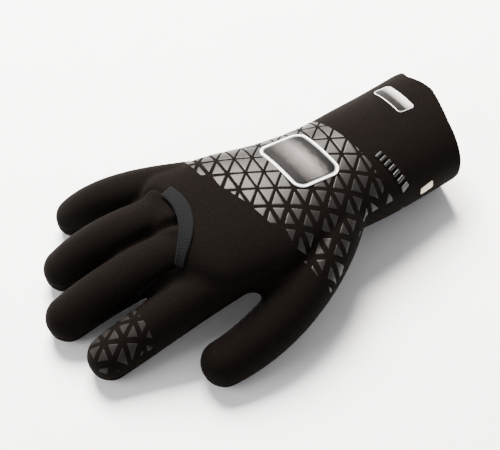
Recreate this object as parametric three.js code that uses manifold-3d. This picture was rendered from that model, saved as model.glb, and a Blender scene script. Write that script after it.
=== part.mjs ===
// A right-hand diving glove of 5 mm neoprene, lying palm down with its fingers curved to the surface.
//
// X runs along the glove, with the fingertips at -X and the cuff's mouth at +X.
// Y runs across it, with the thumb at -Y and the little finger at +Y. Z is up. Lengths are millimetres.
//
// The glove is sewn from three panels of neoprene, butted edge to edge along the sides of the hand:
//   palm_panel            the palm side of the cuff, hand, thumb and fingers
//   back_panel            the back of the cuff, hand, thumb, index finger and little finger
//   middle_fingers_panel  the back of the middle and ring fingers, let in behind the knuckles
// A knuckle_tape covers the curved seam behind the two middle fingers, a back_badge lies on the back
// of the hand, and a cuff_label lies on the cuff.

import * as THREE from 'three';
import { mergeVertices } from 'three/addons/utils/BufferGeometryUtils.js';
import Module from 'manifold-3d';

const wasm = await Module();
wasm.setup();

// Driving sizes
const NEOPRENE_WALL = 5;
const SEAM_GAP = 0.35;
const BODY_LENGTH = 176;
const CUFF_WIDTH = 80;
const CUFF_DEPTH = 52;
const PALM_WIDTH = 104;
const PALM_DEPTH = 40;
const FINGER_LENGTH = 134;
const FINGER_WIDTH = 32.5;
const THUMB_LENGTH = 154;
const THUMB_WIDTH = 33;
const REST_FLAT = 0.6;
const MOUTH_SLANT = 4;
const MOUTH_REACH = 8;

// What lies on the neoprene: the tape, badge and label. A FROM, TO, AT or ASIDE is a share.
const LAID_GAP = 0.3;
const TAPE_WIDTH = 7.5;
const TAPE_THICKNESS = 1.2;
const TAPE_FROM = 0.02;
const TAPE_TO = 0.98;
const BADGE_LENGTH = 42;
const BADGE_WIDTH = 32;
const BADGE_THICKNESS = 0.9;
const BADGE_CORNER = 7;
const BADGE_SKEW = -0.1;
const BADGE_AT = 0.59;
const BADGE_ASIDE = 0.07;
const LABEL_LENGTH = 27;
const LABEL_WIDTH = 12;
const LABEL_THICKNESS = 0.9;
const LABEL_CORNER = 2.5;
const LABEL_SKEW = -0.03;
const LABEL_AT = 0.13;
const LABEL_ASIDE = 0.17;

// Shares that hold for the whole glove
const PARTING_DROP = 0.3;
const DIGIT_ROUNDNESS = 0.93;
const TIP_ROUNDING = 0.47;
const BODY_CAP = 0.13;
const ROUND = 2;

// Facets
const BODY_SIDES = 32;
const BODY_RINGS = 14;
const DIGIT_SIDES = 14;
const DIGIT_RINGS = 9;
const CAP_RINGS = 4;
const CORNER_POINTS = 4;
const PATH_STEPS = 40;
const DIP_TRIALS = 30;

// The body from the cuff's mouth to the knuckles, a row for each section.
// at: share of BODY_LENGTH from the mouth. aside: share of PALM_WIDTH. slope: degrees that the centre
// line climbs towards the knuckles there. cuff: how much of the section's size is the cuff's, the rest
// being the palm's. width and depth: shares of that size. square: how boxy the oval is, from 2.
const BODY_SECTIONS = [
  { at: 0.00, aside: 0.105, slope: 6, cuff: 1.0, width: 1.03, depth: 1.00, square: 2.1 },
  { at: 0.14, aside: 0.070, slope: 7, cuff: 1.0, width: 1.02, depth: 1.02, square: 2.1 },
  { at: 0.31, aside: 0.030, slope: 9, cuff: 1.0, width: 1.01, depth: 1.05, square: 2.1 },
  { at: 0.48, aside: -0.005, slope: 11, cuff: 0.6, width: 0.89, depth: 1.04, square: 2.1 },
  { at: 0.65, aside: -0.030, slope: 8, cuff: 0.2, width: 0.87, depth: 1.02, square: 2.2 },
  { at: 0.83, aside: -0.010, slope: 3, cuff: 0.0, width: 0.91, depth: 0.96, square: 2.3 },
  { at: 1.00, aside: 0.030, slope: -3, cuff: 0.0, width: 0.92, depth: 0.86, square: 2.3 },
];

// The digits. along, aside and lift: where the root lies from the middle of the last body section,
// towards the cuff, outwards and up, as shares of BODY_LENGTH, PALM_WIDTH and PALM_DEPTH. yaw: degrees
// outward in plan at the root, half way and the tip. dip: degrees downward at the root and half way.
// reach and across: the finger's or thumb's length and width. length: share of the reach. width: shares
// of the width at the root, half way and the tip.
const FINGER = { reach: FINGER_LENGTH, across: FINGER_WIDTH };
const THUMB = {
  reach: THUMB_LENGTH, across: THUMB_WIDTH, along: 0.560, aside: -0.15, lift: -0.15,
  yaw: [-49, -25, 5], dip: [2, 13], length: 1.00, width: [0.95, 1.00, 0.87],
};
const INDEX = {
  ...FINGER, along: 0.165, aside: -0.345, lift: -0.08,
  yaw: [0, 6, 4], dip: [-3, 20], length: 0.925, width: [0.86, 1.03, 0.86],
};
const MIDDLE = {
  ...FINGER, along: 0.130, aside: -0.120, lift: 0.04,
  yaw: [8, 10, 8], dip: [0, 18], length: 0.965, width: [0.96, 1.01, 0.94],
};
const RING = {
  ...FINGER, along: 0.165, aside: 0.070, lift: 0.03,
  yaw: [17, 18, 18], dip: [-2, 16], length: 0.945, width: [0.97, 0.94, 0.87],
};
const LITTLE = {
  ...FINGER, along: 0.190, aside: 0.235, lift: -0.08,
  yaw: [28, 32, 33], dip: [-1, 16], length: 0.84, width: [0.87, 0.84, 0.77],
};
const DIGITS = [THUMB, INDEX, MIDDLE, RING, LITTLE];

// The web of the hand: shares of the way along the thumb and the index finger between which it lies, and
// its width and depth as shares of THUMB_WIDTH.
const WEB = { thumb: 0.48, index: 0.17, width: 0.79, depth: 0.67 };

const HALF = 0.5;
const UP = new THREE.Vector3(0, 0, 1);
const rad = THREE.MathUtils.degToRad;

// A smooth run through three values at the root, half way and the tip.
function throughThree([root, half, tip], share) {
  const rest = 1 - share;
  return root * rest * (1 - 2 * share) + half * 4 * share * rest + tip * share * (2 * share - 1);
}

// A closed geometry through rings of points, each with the same count, with a fan over either end.
function loft(rings) {
  const sides = rings[0].length;
  const positions = rings.flat().flatMap(point => point.toArray());
  const index = [];
  for (let r = 0; r < rings.length - 1; r++) {
    for (let s = 0; s < sides; s++) {
      const a = r * sides + s;
      const b = r * sides + (s + 1) % sides;
      index.push(a, b + sides, b, a, a + sides, b + sides);
    }
  }
  for (const last of [false, true]) {
    const ring = last ? rings.at(-1) : rings[0];
    const first = last ? (rings.length - 1) * sides : 0;
    const hub = positions.length / 3;
    const centre = ring.reduce((sum, point) => sum.add(point), new THREE.Vector3()).divideScalar(sides);
    positions.push(...centre.toArray());
    for (let s = 0; s < sides; s++) {
      const a = first + s;
      const b = first + (s + 1) % sides;
      index.push(...(last ? [hub, b, a] : [hub, a, b]));
    }
  }
  const geometry = new THREE.BufferGeometry();
  geometry.setAttribute('position', new THREE.Float32BufferAttribute(positions, 3));
  geometry.setIndex(index);
  return geometry;
}

// A rounded oval across a path: its first point lies to the outside, and it turns up over the top.
function ovalRing(centre, tangent, halfWidth, halfDepth, square, sides) {
  const side = tangent.clone().cross(UP).normalize();
  const top = side.clone().cross(tangent).normalize();
  const bent = value => Math.sign(value) * Math.abs(value) ** (2 / square);
  return Array.from({ length: sides }, (_, s) => {
    const angle = (s / sides) * 2 * Math.PI;
    return centre.clone()
      .addScaledVector(side, halfWidth * bent(Math.cos(angle)))
      .addScaledVector(top, halfDepth * bent(Math.sin(angle)));
  });
}

// The rings that round a path's end off, from a full ring to a small one, length beyond the end.
// A length below 0 rounds off the path's start.
function capRings(end, tangent, length, halfWidth, halfDepth, square, sides) {
  const rings = Array.from({ length: CAP_RINGS }, (_, r) => {
    const turn = ((r + 1) / (CAP_RINGS + HALF)) * Math.PI / 2;
    return ovalRing(end.clone().addScaledVector(tangent, length * Math.sin(turn)), tangent,
      halfWidth * Math.cos(turn), halfDepth * Math.cos(turn), square, sides);
  });
  return length < 0 ? rings.reverse() : rings;
}

// The body's centre line climbs by its slopes from a cuff that rests on its lower rim.
const bodyPoints = [];
for (const [i, row] of BODY_SECTIONS.entries()) {
  const before = BODY_SECTIONS[i - 1];
  const climb = before ? Math.tan(rad((row.slope + before.slope) / 2)) : 0;
  const z = before
    ? bodyPoints[i - 1].z + (row.at - before.at) * BODY_LENGTH * climb
    : CUFF_DEPTH / 2 * Math.cos(rad(row.slope)) - REST_FLAT;
  bodyPoints.push(new THREE.Vector3(-row.at * BODY_LENGTH, row.aside * PALM_WIDTH, z));
}
const bodyPath = new THREE.CatmullRomCurve3(bodyPoints);
const bodyTangent = share => bodyPath.getTangent(share).setY(0).normalize();
const bodySizes = new THREE.CatmullRomCurve3(BODY_SECTIONS.map(row => new THREE.Vector3(
  row.width * THREE.MathUtils.lerp(PALM_WIDTH, CUFF_WIDTH, row.cuff) / 2,
  row.depth * THREE.MathUtils.lerp(PALM_DEPTH, CUFF_DEPTH, row.cuff) / 2,
  row.square,
)));

// The body's skin drawn in by inset. A mouth above 0 carries it on past the cuff's edge.
function bodySolid(inset, mouth) {
  const rings = [];
  const ringAt = (share, centre) => {
    const size = bodySizes.getPoint(share);
    const slant = share === 0 ? MOUTH_SLANT / size.x : 0;
    return ovalRing(centre, bodyTangent(share), size.x - inset, size.y - inset, size.z, BODY_SIDES)
      .map(point => point.setX(point.x + slant * (point.y - centre.y)));
  };
  if (mouth > 0) rings.push(ringAt(0, bodyPath.getPoint(0).addScaledVector(bodyTangent(0), -mouth)));
  for (let r = 0; r <= BODY_RINGS; r++) {
    rings.push(ringAt(r / BODY_RINGS, bodyPath.getPoint(r / BODY_RINGS)));
  }
  const size = bodySizes.getPoint(1);
  rings.push(...capRings(bodyPath.getPoint(1), bodyTangent(1), BODY_CAP * BODY_LENGTH - inset,
    size.x - inset, size.y - inset, size.z, BODY_SIDES));
  return toSolid(loft(rings));
}

// The steepest dips that a tip can have, upwards and downwards, in degrees
const TIP_DIP_LOW = -60;
const TIP_DIP_HIGH = 120;

// A digit's path. It turns in plan by its yaws, and dips so that its tip comes down to the surface.
function digitPath(digit) {
  const tipHalf = digit.width[2] * digit.across / 2;
  const length = digit.length * digit.reach - 2 * TIP_ROUNDING * tipHalf;
  const restHeight = tipHalf * DIGIT_ROUNDNESS - REST_FLAT;
  const root = bodyPath.getPoint(1).add(new THREE.Vector3(
    digit.along * BODY_LENGTH, digit.aside * PALM_WIDTH, digit.lift * PALM_DEPTH));
  const run = tipDip => {
    const points = [root];
    for (let i = 0; i < PATH_STEPS; i++) {
      const share = (i + HALF) / PATH_STEPS;
      const yaw = rad(throughThree(digit.yaw, share));
      const dip = rad(throughThree([...digit.dip, tipDip], share));
      const level = Math.cos(dip);
      const step = new THREE.Vector3(-Math.cos(yaw) * level, Math.sin(yaw) * level, -Math.sin(dip));
      points.push(points.at(-1).clone().addScaledVector(step, length / PATH_STEPS));
    }
    return points;
  };
  let low = TIP_DIP_LOW;
  let high = TIP_DIP_HIGH;
  for (let i = 0; i < DIP_TRIALS; i++) {
    const middle = (low + high) / 2;
    if (run(middle).at(-1).z > restHeight) low = middle;
    else high = middle;
  }
  return new THREE.CatmullRomCurve3(run(low));
}
for (const digit of DIGITS) digit.path = digitPath(digit);

// A digit's skin drawn in by inset, from inside the body to its rounded tip.
function digitSolid(digit, inset) {
  const half = share => throughThree(digit.width, share) * digit.across / 2;
  const rings = capRings(digit.path.getPoint(0), digit.path.getTangent(0), inset - half(0),
    half(0) - inset, half(0) * DIGIT_ROUNDNESS - inset, ROUND, DIGIT_SIDES);
  for (let r = 0; r < DIGIT_RINGS; r++) {
    const share = r / (DIGIT_RINGS - 1);
    rings.push(ovalRing(digit.path.getPoint(share), digit.path.getTangent(share),
      half(share) - inset, half(share) * DIGIT_ROUNDNESS - inset, ROUND, DIGIT_SIDES));
  }
  const tipLength = 2 * TIP_ROUNDING * half(1);
  rings.push(...capRings(digit.path.getPoint(1), digit.path.getTangent(1), tipLength - inset,
    half(1) - inset, half(1) * DIGIT_ROUNDNESS - inset, ROUND, DIGIT_SIDES));
  return toSolid(loft(rings));
}

// The web's skin drawn in by inset. Its ends are inside the thumb and the index finger.
function webSolid(inset) {
  const from = THUMB.path.getPoint(WEB.thumb);
  const to = INDEX.path.getPoint(WEB.index);
  const heading = to.clone().sub(from).normalize();
  return toSolid(loft([0, HALF, 1].map(share => ovalRing(from.clone().lerp(to, share), heading,
    WEB.width * THUMB_WIDTH / 2 - inset, WEB.depth * THUMB_WIDTH / 2 - inset, ROUND, DIGIT_SIDES))));
}

// A closed three.js geometry as a manifold solid.
function toSolid(geometry) {
  geometry.deleteAttribute('normal');
  geometry.deleteAttribute('uv');
  const merged = mergeVertices(geometry, 1e-5);
  return new wasm.Manifold(new wasm.Mesh({
    numProp: 3,
    vertProperties: new Float32Array(merged.attributes.position.array),
    triVerts: new Uint32Array(merged.index.array),
  }));
}

// A manifold solid as a named three.js mesh.
function toMesh(name, solid, material) {
  const mesh = solid.getMesh();
  const geometry = new THREE.BufferGeometry();
  geometry.setAttribute('position', new THREE.Float32BufferAttribute(mesh.vertProperties, 3));
  geometry.setIndex(new THREE.Uint32BufferAttribute(mesh.triVerts, 1));
  const made = new THREE.Mesh(geometry, material);
  made.name = name;
  return made;
}

function skin(inset, mouth = 0) {
  const hand = bodySolid(inset, mouth).add(webSolid(inset));
  return DIGITS.reduce((sum, digit) => sum.add(digitSolid(digit, inset)), hand);
}

// The parting sheet
// The panels meet along the sides of the hand and digits, at a share of their depth below their middle.
const partingDrop = halfDepth => PARTING_DROP * halfDepth;

// A point of the sheet at a share of the way through the body, beside its middle by a share of its width.
function bodyParting(share, beside) {
  const size = bodySizes.getPoint(Math.max(share, 0));
  const point = bodyPath.getPoint(Math.max(share, 0));
  point.x -= Math.min(share, 0) * BODY_LENGTH;
  return point.add(new THREE.Vector3(0, beside * size.x, -partingDrop(size.y)));
}

// A point of the sheet under a digit's middle. Past the tip it runs on level.
function digitParting(digit, share) {
  const on = Math.min(share, 1);
  const point = digit.path.getPoint(on);
  const heading = digit.path.getTangent(on).setZ(0).normalize();
  point.addScaledVector(heading, (share - on) * digit.reach);
  point.z -= partingDrop(throughThree(digit.width, on) * digit.across / 2 * DIGIT_ROUNDNESS);
  return point;
}

// The sheet's rows, from beyond the mouth to beyond the tips. body: share through the body, on the rails
// of the fingers. finger and thumb: share of the way along a digit. A rail is on the body until then.
const PARTING_ROWS = [
  { body: -0.10 },
  { body: 0.00 },
  { body: 0.20 },
  { body: 0.40 },
  { body: 0.60, thumb: 0.15 },
  { body: 0.80, thumb: 0.30 },
  { finger: 0.12, thumb: 0.45 },
  { finger: 0.35, thumb: 0.60 },
  { finger: 0.60, thumb: 0.75 },
  { finger: 0.80, thumb: 0.90 },
  { finger: 1.00, thumb: 1.00 },
  { finger: 1.40, thumb: 1.40 },
];
const RAIL_BESIDE = { thumb: -0.8, index: -0.66, middle: -0.22, ring: 0.22, little: 0.62 };

// One row of the sheet, from the outside of the little finger to the outside of the thumb.
function partingRow(row) {
  const rail = (digit, share, beside) => (
    share === undefined ? bodyParting(row.body, beside) : digitParting(digit, share));
  const thumb = rail(THUMB, row.thumb, RAIL_BESIDE.thumb);
  const index = rail(INDEX, row.finger, RAIL_BESIDE.index);
  const middle = rail(MIDDLE, row.finger, RAIL_BESIDE.middle);
  const ring = rail(RING, row.finger, RAIL_BESIDE.ring);
  const little = rail(LITTLE, row.finger, RAIL_BESIDE.little);
  const outward = new THREE.Vector3(0, PALM_WIDTH, 0);
  return [little.clone().add(outward), little, ring, middle, index, index.clone().lerp(thumb, HALF),
    thumb, thumb.clone().sub(outward)];
}

// Everything above the sheet, raised by an offset.
const FAR_ABOVE = 3 * CUFF_DEPTH;
function aboveParting(offset) {
  return toSolid(loft(PARTING_ROWS.map(row => {
    const sheet = partingRow(row).map(point => point.setZ(point.z + offset));
    return [...sheet.map(point => point.clone().setZ(FAR_ABOVE)), ...sheet.reverse()];
  })));
}

// The curved seam behind the two middle fingers, from between ring and little to between middle and index.
const SEAM_LITTLE_END = 0.33;
const SEAM_INDEX_END = 0.44;
const SEAM_BULGE = 0.15;
const SEAM_POINTS = 11;
const between = (a, b, share) => a.path.getPoint(share).lerp(b.path.getPoint(share), HALF).setZ(0);
const seamStart = between(RING, LITTLE, SEAM_LITTLE_END);
const seamEnd = between(MIDDLE, INDEX, SEAM_INDEX_END);
const seamChord = seamEnd.clone().sub(seamStart);
const seamOut = seamChord.clone().cross(UP).normalize().negate();

// A point of the seam in plan, aside of it by a distance towards the cuff.
function seamPoint(share, aside = 0) {
  const bow = SEAM_BULGE * seamChord.length() * 4 * share * (1 - share);
  const slope = SEAM_BULGE * seamChord.length() * 4 * (1 - 2 * share);
  const normal = seamOut.clone().multiplyScalar(seamChord.length())
    .addScaledVector(seamChord.clone().normalize(), -slope).normalize();
  return seamStart.clone().addScaledVector(seamChord, share).addScaledVector(seamOut, bow)
    .addScaledVector(normal, aside);
}
const seamLine = (aside, from = 0, to = 1) => Array.from({ length: SEAM_POINTS },
  (_, i) => seamPoint(from + (to - from) * i / (SEAM_POINTS - 1), aside));

// An upright prism over an outline in plan, high enough to pass through the whole glove.
function prism(points) {
  const shape = new THREE.Shape(points.map(point => new THREE.Vector2(point.x, point.y)));
  const geometry = new THREE.ExtrudeGeometry(shape, { depth: FAR_ABOVE, bevelEnabled: false });
  return toSolid(geometry);
}

// Shares of the way along the fingers at which the middle fingers' panel has a corner, and how far past
// the fingertips its plan runs, as a share of FINGER_LENGTH
const PANEL_SHARES = [0.55, 0.8, 1.0];
const PANEL_PAST_TIPS = 0.4;

// The plan of the middle fingers' panel, grown by a distance all round its seams.
function middleFingersPlan(grow) {
  const shares = [...PANEL_SHARES];
  const sideways = new THREE.Vector3(0, grow, 0);
  const ahead = new THREE.Vector3(-PANEL_PAST_TIPS * FINGER_LENGTH, 0, 0);
  const littleSide = shares.map(share => between(RING, LITTLE, share).add(sideways));
  const indexSide = shares.map(share => between(MIDDLE, INDEX, share).sub(sideways));
  return prism([
    ...seamLine(grow),
    ...indexSide,
    indexSide.at(-1).clone().add(ahead),
    littleSide.at(-1).clone().add(ahead),
    ...littleSide.reverse(),
  ]);
}

// A thin layer that lies on the neoprene inside an outline in plan.
function laid(plan, thickness, upper) {
  return skin(-LAID_GAP - thickness).subtract(skin(-LAID_GAP)).intersect(plan).intersect(upper);
}

// An oblong with round corners in plan. centre is in plan, long runs along Y, and skew leans it.
function roundedPlan(centre, long, wide, corner, skew) {
  const shape = new THREE.Shape();
  const x = wide / 2 - corner;
  const y = long / 2 - corner;
  shape.absarc(x, y, corner, 0, Math.PI / 2);
  shape.absarc(-x, y, corner, Math.PI / 2, Math.PI);
  shape.absarc(-x, -y, corner, Math.PI, 3 * Math.PI / 2);
  shape.absarc(x, -y, corner, 3 * Math.PI / 2, 2 * Math.PI);
  return prism(shape.getPoints(CORNER_POINTS).map(point => new THREE.Vector3(
    centre.x + point.x + skew * point.y, centre.y + point.y, 0)));
}

// The pieces
const resting = new THREE.BoxGeometry(4 * BODY_LENGTH, 4 * PALM_WIDTH, FAR_ABOVE)
  .translate(-BODY_LENGTH, 0, FAR_ABOVE / 2);
const outer = skin(0).intersect(toSolid(resting));
const shell = outer.subtract(skin(NEOPRENE_WALL, MOUTH_REACH));
const above = aboveParting(SEAM_GAP / 2);
const backs = shell.intersect(above);
const badgeCentre = bodyPath.getPoint(BADGE_AT).add(new THREE.Vector3(0, BADGE_ASIDE * PALM_WIDTH, 0));
const labelCentre = bodyPath.getPoint(LABEL_AT).add(new THREE.Vector3(0, LABEL_ASIDE * CUFF_WIDTH, 0));
const tapePlan = prism([
  ...seamLine(TAPE_WIDTH / 2, TAPE_FROM, TAPE_TO),
  ...seamLine(-TAPE_WIDTH / 2, TAPE_FROM, TAPE_TO).reverse(),
]);

const material = (color, roughness, metalness = 0) => (
  new THREE.MeshStandardMaterial({ color, roughness, metalness }));
const neoprene = material(0x1b1816, 0.9);
const tape = material(0x43464e, 0.85);
const foil = material(0x9a9a98, 0.35, 0.4);
const glove = new THREE.Group();
glove.name = 'diving_glove';
glove.add(
  toMesh('palm_panel', shell.subtract(aboveParting(-SEAM_GAP / 2)), neoprene),
  toMesh('back_panel', backs.subtract(middleFingersPlan(SEAM_GAP)), neoprene),
  toMesh('middle_fingers_panel', backs.intersect(middleFingersPlan(0)), neoprene),
  toMesh('knuckle_tape', laid(tapePlan, TAPE_THICKNESS, above), tape),
  toMesh('back_badge', laid(roundedPlan(badgeCentre, BADGE_LENGTH, BADGE_WIDTH, BADGE_CORNER, BADGE_SKEW),
    BADGE_THICKNESS, above), foil),
  toMesh('cuff_label', laid(roundedPlan(labelCentre, LABEL_LENGTH, LABEL_WIDTH, LABEL_CORNER, LABEL_SKEW),
    LABEL_THICKNESS, above), foil),
);

// The origin is at the middle of the glove's plan, on the surface that it lies on.
const { min, max } = outer.boundingBox();
glove.position.set(-(min[0] + max[0]) / 2, -(min[1] + max[1]) / 2, 0);
export default glove;
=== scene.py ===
"""A right-hand diving glove of black neoprene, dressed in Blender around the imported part.

The glove lies palm down. Its form is drawn in millimetres with X along the glove, from 0 at the middle of
the cuff's mouth to -X at the fingertips, Y across it with the thumb at -Y, and Z up. The finished meshes are
in metres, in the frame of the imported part, whose origin is at the middle of the glove's plan.
"""

import logging
import math
from dataclasses import dataclass, field
from enum import Enum

import bpy
import numpy as np
from mathutils import Matrix, Vector


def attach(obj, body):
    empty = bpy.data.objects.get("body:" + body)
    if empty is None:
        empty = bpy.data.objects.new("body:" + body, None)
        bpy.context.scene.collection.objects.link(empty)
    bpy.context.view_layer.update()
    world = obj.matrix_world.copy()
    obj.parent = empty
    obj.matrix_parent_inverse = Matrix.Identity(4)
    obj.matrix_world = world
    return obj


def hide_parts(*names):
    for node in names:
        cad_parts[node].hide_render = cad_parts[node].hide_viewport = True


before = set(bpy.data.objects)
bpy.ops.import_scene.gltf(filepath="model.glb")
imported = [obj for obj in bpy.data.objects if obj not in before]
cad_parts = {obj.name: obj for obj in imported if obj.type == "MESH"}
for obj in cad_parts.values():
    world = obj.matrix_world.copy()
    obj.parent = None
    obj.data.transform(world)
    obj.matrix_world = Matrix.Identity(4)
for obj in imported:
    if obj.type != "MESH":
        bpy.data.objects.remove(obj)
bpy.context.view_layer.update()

LOG = logging.getLogger("diving_glove")
MM = 0.001
UP = np.array([0.0, 0.0, 1.0])
HALF = 0.5


def unit(vectors: np.ndarray) -> np.ndarray:
    """Vectors made one long."""
    return vectors / np.maximum(np.linalg.norm(vectors, axis=-1, keepdims=True), 1e-12)


def linear(code: str) -> tuple[float, float, float, float]:
    """A colour for a shader from its sRGB code.

    Args:
        code: Six hexadecimal digits.

    Returns:
        Red, green, blue and alpha, linear.
    """
    parts = [int(code[i:i + 2], 16) / 255 for i in (0, 2, 4)]
    return (*[c / 12.92 if c <= 0.04045 else ((c + 0.055) / 1.055) ** 2.4 for c in parts], 1.0)


def ease(value: np.ndarray, low: float, high: float) -> np.ndarray:
    """A smooth rise from 0 where a value is low to 1 where it is high."""
    share = np.clip((value - low) / (high - low), 0, 1)
    return share * share * (3 - 2 * share)


# Plan shapes


def outline_distance(at: np.ndarray, corners: np.ndarray) -> np.ndarray:
    """How far points lie inside a closed outline in plan.

    Args:
        at: Points, of which X and Y count.
        corners: The outline's corners in order.

    Returns:
        Millimetres to the outline, above 0 inside it.
    """
    points = at[:, None, :2]
    start = corners[None]
    run = np.roll(corners, -1, axis=0)[None] - start
    share = np.clip(((points - start) * run).sum(-1) / (run * run).sum(-1), 0, 1)
    away = np.linalg.norm(points - start - share[..., None] * run, axis=-1).min(1)
    crosses = (start[..., 1] > points[..., 1]) != ((start + run)[..., 1] > points[..., 1])
    rise = np.where(run[..., 1] == 0, 1e-9, run[..., 1])
    reach = start[..., 0] + (points[..., 1] - start[..., 1]) * run[..., 0] / rise
    inside = (crosses & (points[..., 0] < reach)).sum(1) % 2 == 1
    return np.where(inside, away, -away)


@dataclass(frozen=True)
class Rounded:
    """An oblong with round corners in plan, long across the glove.

    Its place is its middle, its skew leans the long sides towards the cuff as they run outward, and its turn
    is in degrees.
    """

    middle: tuple[float, float]
    long: float
    wide: float
    corner: float
    skew: float = 0.0
    turn: float = 0.0

    def local(self, at: np.ndarray) -> tuple[np.ndarray, np.ndarray]:
        """Points' places in the oblong, along its width and its length.

        Args:
            at: The points.

        Returns:
            Two places for each point.
        """
        x = at[:, 0] - self.middle[0]
        y = at[:, 1] - self.middle[1]
        cos, sin = math.cos(math.radians(self.turn)), math.sin(math.radians(self.turn))
        x, y = x * cos + y * sin, y * cos - x * sin
        return x - self.skew * y, y

    def distance(self, at: np.ndarray) -> np.ndarray:
        """How far points lie inside the oblong, in millimetres.

        Args:
            at: The points.

        Returns:
            The distances, above 0 inside it.
        """
        x, y = self.local(at)
        over_x = np.abs(x) - self.wide / 2 + self.corner
        over_y = np.abs(y) - self.long / 2 + self.corner
        outside = np.hypot(np.maximum(over_x, 0), np.maximum(over_y, 0))
        return self.corner - outside - np.minimum(np.maximum(over_x, over_y), 0)


# Surfaces


@dataclass
class Surface:
    """A surface of triangles, with a row of data at each vertex, such as its place and its fields."""

    data: dict[str, np.ndarray]
    tris: np.ndarray

    @property
    def at(self) -> np.ndarray:
        """Where the vertices are."""
        return self.data["at"]

    def runs(self) -> np.ndarray:
        """The three edges of each triangle in turn, as two vertex numbers in its own direction."""
        return self.tris[:, [0, 1, 1, 2, 2, 0]].reshape(-1, 2)

    def edges(self) -> np.ndarray:
        """Each edge once, as two vertex numbers."""
        return np.unique(np.sort(self.runs(), axis=1), axis=0)

    def normals(self) -> np.ndarray:
        """The outward direction at each vertex.

        Returns:
            The directions, one long.
        """
        a, b, c = (self.at[self.tris[:, i]] for i in range(3))
        faces = np.cross(b - a, c - a)
        total = np.stack([
            np.bincount(self.tris.ravel(), np.repeat(faces[:, axis], 3), len(self.at)) for axis in range(3)
        ], axis=1)
        return unit(total)

    def spread(self, values: np.ndarray, edges: np.ndarray) -> np.ndarray:
        """Values averaged over each vertex's neighbours.

        Args:
            values: A row of values for each vertex.
            edges: The surface's edges.

        Returns:
            The averages.
        """
        count = len(values)
        degree = np.bincount(edges.ravel(), minlength=count)[:, None]
        total = np.stack([
            np.bincount(edges[:, 0], values[edges[:, 1], axis], count)
            + np.bincount(edges[:, 1], values[edges[:, 0], axis], count)
            for axis in range(values.shape[1])
        ], axis=1)
        return total / np.maximum(degree, 1)

    def even(self, edges: np.ndarray, rounds: int, shrink: float = 0.6, grow: float = 0.62) -> None:
        """Evens the surface in place, by passes of shrinking and growing.

        Args:
            edges: The surface's edges.
            rounds: How many passes of both.
            shrink: The share of the way to the neighbours' middle in a shrinking pass.
            grow: The same in a growing pass, away from it.
        """
        at = self.at
        for _ in range(rounds):
            at += shrink * (self.spread(at, edges) - at)
            at -= grow * (self.spread(at, edges) - at)

    def taken(self, data: dict[str, np.ndarray], tris: np.ndarray) -> "Surface":
        """A surface of some triangles, without the vertices that they leave out."""
        used, index = np.unique(tris, return_inverse=True)
        return Surface({name: rows[used] for name, rows in data.items()}, index.reshape(-1, 3))

    def keep(self, values: np.ndarray) -> "Surface":
        """The part of the surface where a field is above 0, cut exactly along the line where it is 0.

        A triangle that the line crosses is cut in one or two triangles. Each crossed edge gets one new
        vertex, whose data are a mix of the data at its ends.

        Args:
            values: The field at each vertex.

        Returns:
            The part that is kept.
        """
        values = np.where(np.abs(values) < 1e-6, 1e-6, values)
        above = values[self.tris] > 0
        count = above.sum(1)
        is_crossed = (count == 1) | (count == 2)
        if not is_crossed.any():
            return self.taken(self.data, self.tris[count == 3])
        is_one = count[is_crossed] == 1
        lone = (above[is_crossed] == is_one[:, None]).argmax(1)
        turned = np.take_along_axis(self.tris[is_crossed], (lone[:, None] + np.arange(3)) % 3, axis=1)
        ends = np.concatenate([turned[:, [0, 1]], turned[:, [0, 2]]])
        pairs, index = np.unique(np.sort(ends, axis=1), axis=0, return_inverse=True)
        index = index.reshape(-1) + len(self.at)
        first, second = np.split(index, 2)
        share = (values[pairs[:, 0]] / (values[pairs[:, 0]] - values[pairs[:, 1]]))[:, None]
        data = {}
        for name, rows in self.data.items():
            flat = rows.reshape(len(rows), -1)
            mixed = flat[pairs[:, 0]] * (1 - share) + flat[pairs[:, 1]] * share
            data[name] = np.concatenate([rows, mixed.reshape(-1, *rows.shape[1:])])
        one = np.stack([turned[is_one, 0], first[is_one], second[is_one]], axis=1)
        two = turned[~is_one]
        near, far = first[~is_one], second[~is_one]
        quads = np.concatenate([
            np.stack([near, two[:, 1], two[:, 2]], axis=1), np.stack([near, two[:, 2], far], axis=1)])
        return self.taken(data, np.concatenate([self.tris[count == 3], one, quads]))

    def refined(self) -> "Surface":
        """The surface with each triangle cut in four at the middles of its edges.

        Returns:
            The finer surface.
        """
        pairs, index = np.unique(np.sort(self.runs(), axis=1), axis=0, return_inverse=True)
        a, b, c = self.tris.T
        ab, bc, ca = (index.reshape(-1, 3) + len(self.at)).T
        data = {
            name: np.concatenate([rows, (rows[pairs[:, 0]] + rows[pairs[:, 1]]) / 2])
            for name, rows in self.data.items()
        }
        quarters = ((a, ab, ca), (ab, b, bc), (ca, bc, c), (ab, bc, ca))
        return Surface(data, np.concatenate([np.stack(quarter, axis=1) for quarter in quarters]))

    def rim(self) -> np.ndarray:
        """The edges of the surface's outline, each in the direction in which its triangle runs.

        Returns:
            Two vertex numbers for each edge.
        """
        runs = self.runs()
        codes = runs[:, 0] * len(self.at) + runs[:, 1]
        back = runs[:, 1] * len(self.at) + runs[:, 0]
        return runs[~np.isin(codes, back)]


class Face(Enum):
    """The sides of a layer, as material slots."""

    TOP = 0
    RIM = 1
    BASE = 2


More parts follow.
